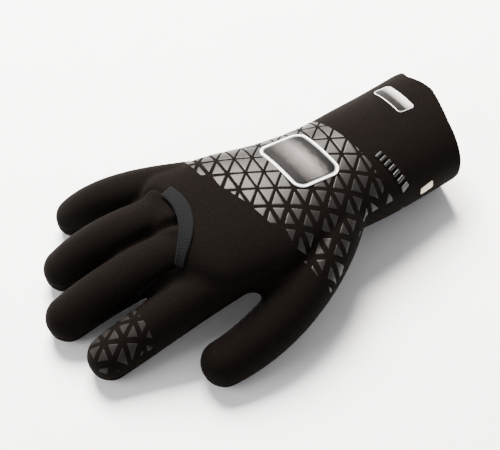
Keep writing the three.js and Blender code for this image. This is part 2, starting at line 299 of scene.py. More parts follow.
@dataclass
class Layer:
    """A closed piece between a top and a base, which are the same surface moved two ways.

    Its materials are for the sides of Face in turn. Where there are fewer, the last one is for the rest.
    """

    name: str
    surface: Surface
    top: np.ndarray
    base: np.ndarray
    materials: list[bpy.types.Material]
    sharp_degrees: float = 40.0

    def build(self, offset: np.ndarray) -> bpy.types.Object:
        """Makes the piece's object.

        Args:
            offset: What moves the drawing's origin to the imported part's, in millimetres.

        Returns:
            The object, riding on the part's body.
        """
        count = len(self.top)
        rim = self.surface.rim()
        tris = self.surface.tris
        sides = np.concatenate([
            np.stack([rim[:, 1], rim[:, 0], rim[:, 0] + count], axis=1),
            np.stack([rim[:, 1], rim[:, 0] + count, rim[:, 1] + count], axis=1)])
        faces = np.concatenate([tris, sides, tris[:, ::-1] + count])
        slots = np.repeat([side.value for side in Face], [len(tris), len(sides), len(tris)])
        slots = np.minimum(slots, len(self.materials) - 1).astype(np.int32)
        places = (np.concatenate([self.top, self.base]) + offset) * MM
        mesh = bpy.data.meshes.new(self.name)
        mesh.vertices.add(len(places))
        mesh.vertices.foreach_set("co", places.ravel())
        mesh.loops.add(faces.size)
        mesh.loops.foreach_set("vertex_index", faces.ravel().astype(np.int32))
        mesh.polygons.add(len(faces))
        mesh.polygons.foreach_set("loop_start", np.arange(0, faces.size, 3, dtype=np.int32))
        mesh.polygons.foreach_set("material_index", slots)
        if "uv" in self.surface.data:
            uv = np.concatenate([self.surface.data["uv"]] * 2)[faces.ravel()] * MM
            mesh.uv_layers.new(name="run").data.foreach_set("uv", uv.ravel())
        mesh.update(calc_edges=True)
        mesh.validate()
        for material in self.materials:
            mesh.materials.append(material)
        mesh.shade_smooth()
        mesh.set_sharp_from_angle(angle=math.radians(self.sharp_degrees))
        made = bpy.data.objects.new(self.name, mesh)
        bpy.context.scene.collection.objects.link(made)
        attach(made, "root")
        LOG.info("%s: %d triangles", self.name, len(faces))
        return made


# The glove's form


class Curve:
    """A centripetal Catmull-Rom curve, which passes its points at equal steps of the share along it."""

    def __init__(self, points: np.ndarray) -> None:
        """Keeps the points, with one more beyond either end."""
        points = np.asarray(points, float)
        self.points = np.concatenate([[2 * points[0] - points[1]], points, [2 * points[-1] - points[-2]]])

    def at(self, share: np.ndarray) -> np.ndarray:
        """Points of the curve at shares from 0 to 1.

        Args:
            share: The shares.

        Returns:
            The points.
        """
        share = np.clip(np.atleast_1d(np.asarray(share, float)), 0, 1) * (len(self.points) - 3)
        first = np.minimum(share.astype(int), len(self.points) - 4)
        t = (share - first)[:, None]
        p0, p1, p2, p3 = (self.points[first + i] for i in range(4))
        d0, d1, d2 = (np.sqrt(np.linalg.norm(b - a, axis=1, keepdims=True))
                      for a, b in ((p0, p1), (p1, p2), (p2, p3)))
        out = ((p1 - p0) / d0 - (p2 - p0) / (d0 + d1) + (p2 - p1) / d1) * d1
        into = ((p2 - p1) / d1 - (p3 - p1) / (d1 + d2) + (p3 - p2) / d2) * d1
        square = 3 * (p2 - p1) - 2 * out - into
        cube = 2 * (p1 - p2) + out + into
        return p1 + out * t + square * t ** 2 + cube * t ** 3

    def heading(self, share: np.ndarray) -> np.ndarray:
        """The curve's direction at shares from 0 to 1."""
        share = np.atleast_1d(np.asarray(share, float))
        return unit(self.at(share + 1e-4) - self.at(share - 1e-4))


@dataclass(frozen=True)
class Section:
    """A section of the body, at a share of its length.

    aside is how far its middle lies from X, as a share of the palm's width, and slope how it climbs, in
    degrees. Its width and depth are shares of the cuff's by the share cuff, and else of the palm's. square
    is the power of its rounded oval.
    """

    at: float
    aside: float
    slope: float
    cuff: float
    width: float
    depth: float
    square: float


@dataclass(frozen=True)
class Digit:
    """A thumb or finger: where its root lies, and how it turns, dips and tapers.

    reach and across are the length and width that its shares are of. Its root lies beyond the body's end by
    the shares along, aside and lift of the body's length, the palm's width and the palm's depth. yaw is its
    direction in plan at the root, half way and the tip, and dip how steeply it falls at the first two, in
    degrees. width is the share of across at the same three places.
    """

    reach: float
    across: float
    along: float
    aside: float
    lift: float
    yaw: tuple[float, float, float]
    dip: tuple[float, float]
    length: float
    width: tuple[float, float, float]


def through_three(values: tuple[float, float, float], share: np.ndarray) -> np.ndarray:
    """A smooth run through three values at the root, half way and the tip.

    Args:
        values: The three values.
        share: Shares of the way from the root to the tip.

    Returns:
        The value at each share.
    """
    root, half, tip = values
    rest = 1 - share
    return root * rest * (1 - 2 * share) + half * 4 * share * rest + tip * share * (2 * share - 1)


def oval_rings(centre: np.ndarray, heading: np.ndarray, half_width: np.ndarray, half_depth: np.ndarray,
               square: np.ndarray, sides: int) -> np.ndarray:
    """Rounded ovals across a path: a row of points for each.

    Args:
        centre: The ovals' middles.
        heading: The path's direction at each.
        half_width: Half their widths.
        half_depth: Half their depths.
        square: The power of each oval, 2 for an ellipse and more for a squarer one.
        sides: How many points each has.

    Returns:
        The points, by oval and place round it.
    """
    side = unit(np.cross(heading, UP))
    top = unit(np.cross(side, heading))
    angle = np.arange(sides) / sides * 2 * np.pi
    power = (2 / np.asarray(square, float))[:, None]
    wide = np.sign(np.cos(angle)) * np.abs(np.cos(angle)) ** power * half_width[:, None]
    deep = np.sign(np.sin(angle)) * np.abs(np.sin(angle)) ** power * half_depth[:, None]
    return centre[:, None] + wide[..., None] * side[:, None] + deep[..., None] * top[:, None]


def lofted(rings: np.ndarray) -> tuple[np.ndarray, np.ndarray]:
    """The points and triangles of a closed loft through rings, with a fan over either end.

    Args:
        rings: The rings' points, by ring and place round it.

    Returns:
        The points, and the triangles as vertex numbers.
    """
    count, sides = rings.shape[:2]
    number = np.arange(count * sides).reshape(count, sides)
    a, b = number[:-1], np.roll(number, -1, axis=1)[:-1]
    c, d = number[1:], np.roll(number, -1, axis=1)[1:]
    tris = [np.stack([a, d, b], -1).reshape(-1, 3), np.stack([a, c, d], -1).reshape(-1, 3)]
    hubs = count * sides + np.arange(2)
    start, end = number[0], number[-1]
    tris.append(np.stack([np.full(sides, hubs[0]), start, np.roll(start, -1)], -1))
    tris.append(np.stack([np.full(sides, hubs[1]), np.roll(end, -1), end], -1))
    points = np.concatenate([rings.reshape(-1, 3), rings[[0, -1]].mean(1)])
    return points, np.concatenate(tris)


@dataclass
class HandForm:
    """The glove's outer form: a body from the cuff to the knuckles, a thumb, four fingers and a web.

    Lengths are millimetres. A section or a digit is in shares of them, as in the part's source. kept_open
    holds places in which the valleys between the fingers aren't filled as much: by which share less, from and
    to which X towards the tips, the side of Y, and from and to which Y on that side.
    """

    body_length: float = 176
    cuff_width: float = 80
    cuff_depth: float = 52
    palm_width: float = 104
    palm_depth: float = 40
    finger_length: float = 134
    finger_width: float = 32.5
    thumb_length: float = 154
    thumb_width: float = 33
    rest_flat: float = 0.6
    mouth_slant: float = 4
    past_mouth: float = 8
    digit_roundness: float = 0.93
    tip_rounding: float = 0.47
    body_cap: float = 0.13
    tip_dips: tuple[float, float] = (-60.0, 120.0)
    parting_drop: float = 0.3
    parting_rails: tuple[float, ...] = (-0.66, -0.22, 0.22, 0.62)
    parting_bell: float = 7.0
    web: tuple[float, float, float, float] = (0.48, 0.17, 0.79, 0.67)
    voxel: float = 1.15
    fillet_rounds: int = 70
    fillet_step: float = 0.6
    panel_fillet: float = 0.12
    panel_ease: tuple[float, float] = (-2, 3)
    hollow: tuple[float, float] = (0.012, 0.06)
    kept_open: tuple[tuple[float, float, float, int, float, float], ...] = (
        (0.92, 206, 218, -1, -12, 0),
        (0.8, 178, 190, 1, 20, 28),
    )
    even_rounds: int = 10
    digits: dict[str, Digit] = field(default_factory=dict)
    sections: tuple[Section, ...] = (
        Section(0.00, 0.105, 6, 1.0, 1.03, 1.00, 2.1),
        Section(0.14, 0.070, 7, 1.0, 1.02, 1.02, 2.1),
        Section(0.31, 0.030, 9, 1.0, 1.01, 1.05, 2.1),
        Section(0.48, -0.005, 11, 0.6, 0.89, 1.04, 2.1),
        Section(0.65, -0.025, 8, 0.2, 0.855, 1.02, 2.2),
        Section(0.83, -0.010, 3, 0.0, 0.91, 0.96, 2.3),
        Section(1.00, 0.030, -3, 0.0, 0.92, 0.86, 2.3),
    )

    def __post_init__(self) -> None:
        """Sets the digits, and the curves of the body and the digits."""
        finger = (self.finger_length, self.finger_width)
        thumb = (self.thumb_length, self.thumb_width)
        self.digits = {
            "thumb": Digit(*thumb, 0.560, -0.15, -0.15, (-49, -25, 5), (2, 13), 1.00, (0.95, 1.00, 0.87)),
            "index": Digit(*finger, 0.165, -0.345, -0.08, (0, 3.9, 0.6), (-3, 20), 0.925, (0.86, 0.92, 0.86)),
            "middle": Digit(*finger, 0.130, -0.120, 0.04, (8, 10.3, 9.2), (0, 18), 0.965, (0.96, 0.96, 0.88)),
            "ring": Digit(*finger, 0.165, 0.070, 0.02, (17, 18, 18), (-2, 16), 0.935, (0.97, 0.93, 0.85)),
            "little": Digit(*finger, 0.190, 0.235, -0.06, (28, 32, 33), (-1, 16), 0.84, (0.98, 0.83, 0.77)),
        }
        points = []
        for i, row in enumerate(self.sections):
            if i:
                before = self.sections[i - 1]
                run = (row.at - before.at) * self.body_length
                z = points[-1][2] + run * math.tan(math.radians((row.slope + before.slope) / 2))
            else:
                z = self.cuff_depth / 2 * math.cos(math.radians(row.slope)) - self.rest_flat
            points.append((-row.at * self.body_length, row.aside * self.palm_width, z))
        self.body = Curve(np.array(points))
        self.sizes = Curve(np.array([(
            row.width * (self.palm_width + (self.cuff_width - self.palm_width) * row.cuff) / 2,
            row.depth * (self.palm_depth + (self.cuff_depth - self.palm_depth) * row.cuff) / 2,
            row.square) for row in self.sections]))
        self.paths = {name: self.digit_path(digit) for name, digit in self.digits.items()}

    def level_heading(self, share: np.ndarray) -> np.ndarray:
        """The body's direction without its turn in plan."""
        return unit(self.body.heading(share) * np.array([1.0, 0.0, 1.0]))

    def digit_path(self, digit: Digit) -> Curve:
        """A digit's centre line. Its dip at the tip is the one that brings the tip down to the surface.

        Args:
            digit: The digit.

        Returns:
            The centre line.
        """
        steps = 40
        trials = 30
        tip_half = digit.width[2] * digit.across / 2
        length = digit.length * digit.reach - 2 * self.tip_rounding * tip_half
        rest = tip_half * self.digit_roundness - self.rest_flat
        root = self.body.at(1)[0] + np.array([
            digit.along * self.body_length, digit.aside * self.palm_width, digit.lift * self.palm_depth])
        share = (np.arange(steps) + HALF) / steps
        yaw = np.radians(through_three(digit.yaw, share))

        def run(tip_dip: float) -> np.ndarray:
            """The centre line's points for a dip at the tip.

            Args:
                tip_dip: The dip in degrees.

            Returns:
                The points.
            """
            dip = np.radians(through_three((*digit.dip, tip_dip), share))
            step = np.stack([-np.cos(yaw) * np.cos(dip), np.sin(yaw) * np.cos(dip), -np.sin(dip)], axis=1)
            return np.concatenate([[root], root + np.cumsum(step * length / steps, axis=0)])

        low, high = self.tip_dips
        for _ in range(trials):
            middle = (low + high) / 2
            if run(middle)[-1, 2] > rest:
                low = middle
            else:
                high = middle
        return Curve(run(low))

    def cap(self, end: np.ndarray, heading: np.ndarray, length: float, size: tuple[float, float, float],
            sides: int) -> np.ndarray:
        """The rings that round a path's end off, over a length beyond it, below 0 at the path's start.

        Args:
            end: The path's end.
            heading: The path's direction there.
            length: The length.
            size: Half the width, half the depth and the power of the last oval.
            sides: How many points each ring has.

        Returns:
            The rings in the path's order.
        """
        count = 16
        turn = (np.arange(count) + 1) / (count + HALF) * np.pi / 2
        centre = end + heading * (length * np.sin(turn))[:, None]
        rings = oval_rings(centre, np.repeat(heading[None], count, 0), size[0] * np.cos(turn),
                           size[1] * np.cos(turn), np.full(count, size[2]), sides)
        return rings[::-1] if length < 0 else rings

    def body_loft(self) -> tuple[np.ndarray, np.ndarray]:
        """The body, from beyond the mouth to its rounded end inside the fingers' roots.

        Returns:
            Its points and triangles.
        """
        share = np.linspace(0, 1, 110)
        sides = 128
        size = self.sizes.at(share)
        heading = self.level_heading(share)
        centre = self.body.at(share)
        rings = oval_rings(centre, heading, size[:, 0], size[:, 1], size[:, 2], sides)
        steps = np.array([2.0, 1.5, 1.0])[:, None, None]
        before = rings[:1] - heading[:1, None] * steps * self.past_mouth / 2
        end = self.cap(centre[-1], heading[-1], self.body_cap * self.body_length, tuple(size[-1]), sides)
        return lofted(np.concatenate([before, rings, end]))

    def digit_loft(self, name: str) -> tuple[np.ndarray, np.ndarray]:
        """A digit, from inside the body to its rounded tip.

        Args:
            name: The digit's name.

        Returns:
            Its points and triangles.
        """
        digit, path = self.digits[name], self.paths[name]
        share = np.linspace(0, 1, 90)
        sides = 64
        half = through_three(digit.width, share) * digit.across / 2
        heading = path.heading(share)
        centre = path.at(share)
        flat = self.digit_roundness
        root = self.cap(centre[0], heading[0], -half[0], (half[0], half[0] * flat, 2.0), sides)
        tip = self.cap(centre[-1], heading[-1], 2 * self.tip_rounding * half[-1],
                       (half[-1], half[-1] * flat, 2.0), sides)
        rings = oval_rings(centre, heading, half, half * flat, np.full(len(share), 2.0), sides)
        return lofted(np.concatenate([root, rings, tip]))

    def web_loft(self) -> tuple[np.ndarray, np.ndarray]:
        """The web between the thumb and the index finger.

        Returns:
            Its points and triangles.
        """
        on_thumb, on_index, width, depth = self.web
        start, end = self.paths["thumb"].at(on_thumb)[0], self.paths["index"].at(on_index)[0]
        share = np.linspace(0, 1, 12)[:, None]
        count = len(share)
        return lofted(oval_rings(
            start + (end - start) * share, np.repeat(unit(end - start)[None], count, 0),
            np.full(count, width * self.thumb_width / 2), np.full(count, depth * self.thumb_width / 2),
            np.full(count, 2.0), 64))

    def skin(self, panel: np.ndarray) -> Surface:
        """One smooth surface over the body, digits and web.

        The lofts are joined by a voxel remesh, and the result is evened. Then the valleys where digits meet
        are filled, by moving each vertex towards the middle of its neighbours where that middle lies outside
        the surface. The valleys inside the middle fingers' panel and at the places kept open are filled only
        a little.

        Args:
            panel: The corners of that panel's plan.

        Returns:
            The surface, with its places and its outward directions.
        """
        lofts = [self.body_loft(), self.web_loft(), *(self.digit_loft(name) for name in self.digits)]
        starts = np.cumsum([0, *(len(points) for points, _ in lofts)])
        points = np.concatenate([points for points, _ in lofts]) * MM
        tris = np.concatenate([tris + start for (_, tris), start in zip(lofts, starts)])
        mesh = bpy.data.meshes.new("lofts")
        mesh.from_pydata(points.tolist(), [], tris.tolist())
        made = bpy.data.objects.new("lofts", mesh)
        bpy.context.scene.collection.objects.link(made)
        remesh = made.modifiers.new("join", "REMESH")
        remesh.mode = "VOXEL"
        remesh.voxel_size = self.voxel * MM
        joined = made.evaluated_get(bpy.context.evaluated_depsgraph_get()).to_mesh()
        places = np.empty(len(joined.vertices) * 3)
        joined.vertices.foreach_get("co", places)
        joined.calc_loop_triangles()
        corners = np.empty(len(joined.loop_triangles) * 3, dtype=np.int32)
        joined.loop_triangles.foreach_get("vertices", corners)
        bpy.data.objects.remove(made)
        bpy.data.meshes.remove(mesh)
        surface = Surface({"at": places.reshape(-1, 3) / MM}, corners.reshape(-1, 3).astype(np.int64))
        edges = surface.edges()
        at = surface.at
        surface.even(edges, self.even_rounds)
        on_panel = ease(outline_distance(at, panel), *self.panel_ease)
        fill = self.fillet_step * (1 - (1 - self.panel_fillet) * on_panel)
        for less, from_x, to_x, side, from_y, to_y in self.kept_open:
            fill *= 1 - less * ease(-at[:, 0], from_x, to_x) * ease(side * at[:, 1], from_y, to_y)
        for _ in range(self.fillet_rounds):
            pull = surface.spread(at, edges) - at
            outward = (pull * surface.normals()).sum(1)
            at += pull * (fill * ease(outward, *self.hollow))[:, None]
        surface.even(edges, self.even_rounds)
        surface.data["normal"] = surface.normals()
        return surface

    def half_depth(self, name: str, share: np.ndarray) -> np.ndarray:
        """Half a digit's depth at a share of the way along it."""
        digit = self.digits[name]
        return through_three(digit.width, share) * digit.across / 2 * self.digit_roundness

    def parting(self, at: np.ndarray) -> np.ndarray:
        """How far points lie above the sheet in which the palm and the back of the glove meet.

        The sheet's height at a point in plan is the mean height of the seam beside the body and under the
        digits, each sample weighing less the farther off it is, by a bell curve.

        Args:
            at: The points.

        Returns:
            Millimetres above the sheet.
        """
        samples = []
        for beside in self.parting_rails:
            share = np.linspace(0, 0.92, 28)
            size = self.sizes.at(share)
            samples.append(self.body.at(share) + np.stack([
                np.zeros_like(share), beside * size[:, 0], -self.parting_drop * size[:, 1]], axis=1))
        for name, path in self.paths.items():
            share = np.linspace(0.3 if name == "thumb" else 0.2, 1.0, 30)
            points = path.at(share)
            points[:, 2] -= self.parting_drop * self.half_depth(name, share)
            samples.append(points)
        samples = np.concatenate(samples)
        away = ((at[:, None, :2] - samples[None, :, :2]) ** 2).sum(-1) / (2 * self.parting_bell ** 2)
        weight = np.exp(away.min(1, keepdims=True) - away)
        return at[:, 2] - (weight * samples[:, 2]).sum(1) / weight.sum(1)

    def from_mouth(self, at: np.ndarray) -> np.ndarray:
        """How far points lie inside the cuff's slanting mouth.

        Args:
            at: The points.

        Returns:
            The distances, above 0 inside it.
        """
        middle = self.body.at(0)[0]
        moved = at - middle
        moved[:, 0] -= self.mouth_slant / self.sizes.at(0)[0, 0] * moved[:, 1]
        return moved @ self.level_heading(0)[0]


@dataclass
class KnuckleSeam:
    """The curved seam behind the middle and ring fingers, and the plan of the panel that it bounds."""

    form: HandForm
    little_end: float = 0.41
    index_end: float = 0.44
    bulge: float = 0.20
    points: int = 49
    past_tips: float = 0.4

    def between(self, one: str, other: str, share: float) -> np.ndarray:
        """A point in plan half way between two digits."""
        return (self.form.paths[one].at(share)[0, :2] + self.form.paths[other].at(share)[0, :2]) / 2

    def line(self) -> np.ndarray:
        """The seam's points in plan, from between ring and little to between middle and index.

        Returns:
            The points.
        """
        start = self.between("ring", "little", self.little_end)
        end = self.between("middle", "index", self.index_end)
        share = np.linspace(0, 1, self.points)[:, None]
        chord = end - start
        out = np.array([-chord[1], chord[0]])
        return start + chord * share + out * self.bulge * 4 * share * (1 - share)

    def plan(self) -> np.ndarray:
        """The corners of the panel's plan.

        Returns:
            The corners in order.
        """
        shares = (0.55, 0.8, 1.0)
        ahead = np.array([-self.past_tips * self.form.finger_length, 0.0])
        index_side = [self.between("middle", "index", share) for share in shares]
        little_side = [self.between("ring", "little", share) for share in shares]
        return np.array([*self.line(), *index_side, index_side[-1] + ahead, little_side[-1] + ahead,
                         *little_side[::-1]])

    def along(self, at: np.ndarray) -> np.ndarray:
        """Points' places along and across the seam, in millimetres, with across above 0 towards the cuff.

        Args:
            at: The points.

        Returns:
            Two places for each point.
        """
        line = self.line()
        run = np.diff(line, axis=0)
        length = np.linalg.norm(run, axis=1)
        start = np.concatenate([[0], np.cumsum(length)])[:-1]
        offset = at[:, None, :2] - line[None, :-1]
        share = (offset * run).sum(-1) / (length * length)
        share[:, 1:-1] = np.clip(share[:, 1:-1], 0, 1)
        share[:, 0] = np.minimum(share[:, 0], 1)
        share[:, -1] = np.maximum(share[:, -1], 0)
        away = np.linalg.norm(offset - share[..., None] * run, axis=-1)
        near = away.argmin(1)
        rows = np.arange(len(at))
        cross = run[near, 0] * offset[rows, near, 1] - run[near, 1] * offset[rows, near, 0]
        return np.stack([start[near] + share[rows, near] * length[near],
                         np.sign(cross) * away[rows, near]], axis=1)


# Finishes


class Shading:
    """A material in the making."""

    def __init__(self, name: str) -> None:
        """Starts the material with its own shader.

        Args:
            name: The material's name.
        """
        self.material = bpy.data.materials.new(name)
        self.material.use_nodes = True
        self.tree = self.material.node_tree
        self.shader = self.tree.nodes["Principled BSDF"]

    def put(self, node: bpy.types.Node, values: dict) -> bpy.types.Node:
        """Sets a node's inputs to values, or links them to other nodes' outputs.

        Args:
            node: The node.
            values: A value or an output for each input by its name or number.

        Returns:
            The node.
        """
        for name, value in values.items():
            if isinstance(value, bpy.types.NodeSocket):
                self.tree.links.new(value, node.inputs[name])
            else:
                node.inputs[name].default_value = value
        return node

    def add(self, kind: str, values: dict | None = None, **settings: object) -> bpy.types.Node:
        """Adds a node.

        Args:
            kind: The node's type.
            values: Its inputs, as in put.
            **settings: Its other properties.

        Returns:
            The node.
        """
        node = self.tree.nodes.new(kind)
        for name, value in settings.items():
            setattr(node, name, value)
        return self.put(node, values or {})

    def place(self) -> bpy.types.NodeSocket:
        """Places on the object, in metres."""
        return self.add("ShaderNodeTexCoord").outputs["Object"]

    def run(self) -> bpy.types.NodeSocket:
        """Places along the piece's own run, in metres."""
        return self.add("ShaderNodeUVMap", uv_map="run").outputs["UV"]

    def sum(self, kind: str, *terms: float | bpy.types.NodeSocket) -> bpy.types.NodeSocket:
        """The result of a kind of sum, such as ADD, with its terms."""
        return self.add("ShaderNodeMath", dict(enumerate(terms)), operation=kind).outputs[0]

    def noise(self, size: float, detail: float = 2.0,
              vector: bpy.types.NodeSocket | None = None) -> bpy.types.NodeSocket:
        """Noise whose blotches are about as large as a size in millimetres."""
        return self.add("ShaderNodeTexNoise", {
            "Vector": vector or self.place(), "Scale": 1 / (size * MM), "Detail": detail}).outputs["Fac"]

    def ramp(self, value: bpy.types.NodeSocket, stops: list[tuple[float, str]]) -> bpy.types.NodeSocket:
        """Colours by a value, from stops of a place and a colour code.

        Args:
            value: The value.
            stops: The stops in order.

        Returns:
            The colour.
        """
        node = self.add("ShaderNodeValToRGB", {"Fac": value})
        ramp = node.color_ramp
        while len(ramp.elements) < len(stops):
            ramp.elements.new(1.0)
        for element, (at, code) in zip(ramp.elements, stops):
            element.position = at
            element.color = linear(code)
        return node.outputs["Color"]

    def bump(self, height: bpy.types.NodeSocket, depth: float, strength: float = 1.0,
             normal: bpy.types.NodeSocket | None = None) -> bpy.types.NodeSocket:
        """A bumped normal, whose full height is a depth in millimetres.

        Args:
            height: The height, from 0 to 1.
            depth: The depth.
            strength: How much of it shows.
            normal: The normal that it is added to, or none for the surface's own.

        Returns:
            The normal.
        """
        values = {"Height": height, "Distance": depth * MM, "Strength": strength}
        if normal:
            values["Normal"] = normal
        return self.add("ShaderNodeBump", values).outputs["Normal"]


@dataclass(frozen=True)
class Jersey:
    """Neoprene faced with a fine nylon jersey: a dark ground, paler flecks of yarn and a soft sheen."""

    name: str = "neoprene_jersey"
    ground: str = "020100"
    yarn: str = "0d0806"
    grain: float = 0.55
    roughness: float = 0.9
    blotch: float = 22
    specular: float = 0.04
    sheen: float = 0.015
    sheen_tint: str = "a08a80"

    def build(self) -> bpy.types.Material:
        """Makes the material.

        Returns:
            The material.
        """
        work = Shading(self.name)
        grain = work.noise(self.grain, 3.0)
        colour = work.ramp(grain, [(0.40, self.ground), (0.72, self.yarn)])
        blotch = work.noise(self.blotch)
        normal = work.bump(grain, 0.22, 0.55, work.bump(blotch, 0.6, 0.25))
        work.put(work.shader, {
            "Base Color": colour, "Roughness": self.roughness, "Normal": normal,
            "Specular IOR Level": self.specular, "Sheen Weight": self.sheen, "Sheen Roughness": 0.4,
            "Sheen Tint": linear(self.sheen_tint)})
        return work.material


@dataclass(frozen=True)
class Plain:
    """A finish of one colour with fine mottling: raw foam, ink, foil lines or a moulded edge."""

    name: str
    colour: str
    shade: str
    grain: float = 0.5
    roughness: float = 0.6
    metallic: float = 0.0
    depth: float = 0.05
    specular: float = 0.5

    def build(self) -> bpy.types.Material:
        """Makes the material.

        Returns:
            The material.
        """
        work = Shading(self.name)
        grain = work.noise(self.grain, 2.0)
        work.put(work.shader, {
            "Base Color": work.ramp(grain, [(0.35, self.shade), (0.65, self.colour)]),
            "Roughness": self.roughness, "Metallic": self.metallic, "Specular IOR Level": self.specular,
            "Normal": work.bump(grain, self.depth, 0.5)})
        return work.material


@dataclass(frozen=True)
class Knit:
    """Ribbed knitted tape: fine ribs along the tape and stitches across them, by the piece's own run."""

    name: str = "knitted_tape"
    dark: str = "050607"
    light: str = "060608"
    rib: float = 0.6
    stitch: float = 0.55
    fuzz: float = 0.45

    def build(self) -> bpy.types.Material:
        """Makes the material.

        Returns:
            The material.
        """
        work = Shading(self.name)
        run = work.run()
        ribs, stitches = (
            work.add("ShaderNodeTexWave", {
                "Vector": run, "Scale": 1 / (size * MM) / 20 * math.pi, "Distortion": bent, "Detail": 1.0},
                wave_type="BANDS", bands_direction=axis).outputs["Fac"]
            for size, bent, axis in ((self.rib, 1.2, "Y"), (self.stitch, 1.5, "X")))
        mixed = work.sum("ADD", work.sum("MULTIPLY", ribs, stitches), work.noise(self.fuzz, 3.0))
        work.put(work.shader, {
            "Base Color": work.ramp(mixed, [(0.30, self.dark), (1.0, self.light)]), "Roughness": 0.85,
            "Normal": work.bump(mixed, 0.25, 0.7), "Specular IOR Level": 0.08,
            "Sheen Weight": 0.02, "Sheen Roughness": 0.5, "Sheen Tint": linear("8b93a3")})
        return work.material


@dataclass(frozen=True)
class Foil:
    """Brushed foil whose tone runs across the piece by its stops, over a span in millimetres."""

    name: str
    stops: tuple[tuple[float, str], ...]
    span: float
    roughness: float = 0.5
    metallic: float = 0.7
    streak: float = 0.35
    stretch: float = 0.06
    streak_share: float = 0.30

    def build(self) -> bpy.types.Material:
        """Makes the material.

        Returns:
            The material.
        """
        work = Shading(self.name)
        run = work.run()
        across = work.add("ShaderNodeSeparateXYZ", {"Vector": run}).outputs["X"]
        long = work.add("ShaderNodeMapping", {"Vector": run, "Scale": (1.0, self.stretch, 1.0)})
        streak = work.noise(self.streak, 3.0, long.outputs[0])
        share = work.sum("MULTIPLY", across, 1 / (self.span * MM))
        moved = work.sum("MULTIPLY_ADD", streak, self.streak_share, share)
        work.put(work.shader, {
            "Base Color": work.ramp(moved, list(self.stops)), "Roughness": self.roughness,
            "Metallic": self.metallic, "Normal": work.bump(streak, 0.04, 0.5), "Specular IOR Level": 0.1})
        return work.material


class Finishes:
    """Every material of the glove."""

    def __init__(self) -> None:
        """Makes the materials."""
        self.jersey = Jersey().build()
        self.lining = Jersey("lining_jersey", "0c0b0b", "2b2a2a", 0.8, 0.9).build()
        self.foam = Plain("raw_foam", "0f0d0c", "070606", 0.7, 0.95, depth=0.3, specular=0.2).build()
        self.knit = Knit().build()
        self.ink = Plain("grip_ink", "211f1e", "191716", 0.6, 0.47, 0.6, depth=0.06, specular=0.3).build()
        self.dark_ink = Plain(
            "fingertip_ink", "181514", "110f0e", 0.6, 0.6, depth=0.06, specular=0.09).build()
        self.white_edge = Plain("white_edge", "f4f4f2", "dededc", 0.8, 0.45, depth=0.03).build()
        self.grey_line = Plain("grey_line", "6f7372", "585c5b", 0.8, 0.4, 0.3, depth=0.02).build()
        self.badge = Foil("badge_foil", (
            (0.00, "020202"), (0.36, "080707"), (0.58, "393635"), (0.70, "484544"), (0.90, "080707"),
            (1.0, "020202")), 34).build()
        self.label = Foil("label_foil", ((0.0, "020202"), (0.50, "141211"), (1.0, "b5b2ae")), 14).build()
        self.gloss = Plain("gloss_black", "0c0a0a", "050404", 0.8, 0.38, depth=0.02).build()
        self.cream = Plain("cream_ink", "cdc2a9", "b7ad95", 0.8, 0.6, depth=0.03).build()


# Sub-assemblies


@dataclass(frozen=True)
class Valley:
    """A crease pressed in between two fingers, from one share of the way along them to another."""

    one: str
    other: str
    start: float
    end: float
    deep: float
    wide: float
    aside: float = 4.5
    straightens: float = 0.3
    points: int = 160

    def pressed(self, form: HandForm, at: np.ndarray) -> np.ndarray:
        """How far the crease presses points down, in millimetres.

        Its line runs half way between the two fingers' paths in plan, and starts aside of that towards the
        thumb. It is deepest near its start and fades out at its end. Across it, the depth is a bell curve.

        Args:
            form: The form whose fingers they are.
            at: The points.

        Returns:
            The depth at each point.
        """
        share = np.linspace(self.start, self.end, self.points)
        line = (form.paths[self.one].at(share) + form.paths[self.other].at(share))[:, :2] / 2
        line[:, 1] -= self.aside * (1 - ease(share, self.start, self.start + self.straightens))
        reach = 3 * self.wide
        beside = ((at[:, :2] > line.min(0) - reach) & (at[:, :2] < line.max(0) + reach)).all(1)
        away = np.linalg.norm(at[beside, None, :2] - line, axis=-1)
        fade = 1 - ease(share[away.argmin(1)], self.start + (self.end - self.start) / 3, self.end)
        depth = np.zeros(len(at))
        depth[beside] = self.deep * fade * np.exp(-(away.min(1) / self.wide) ** 2)
        return depth


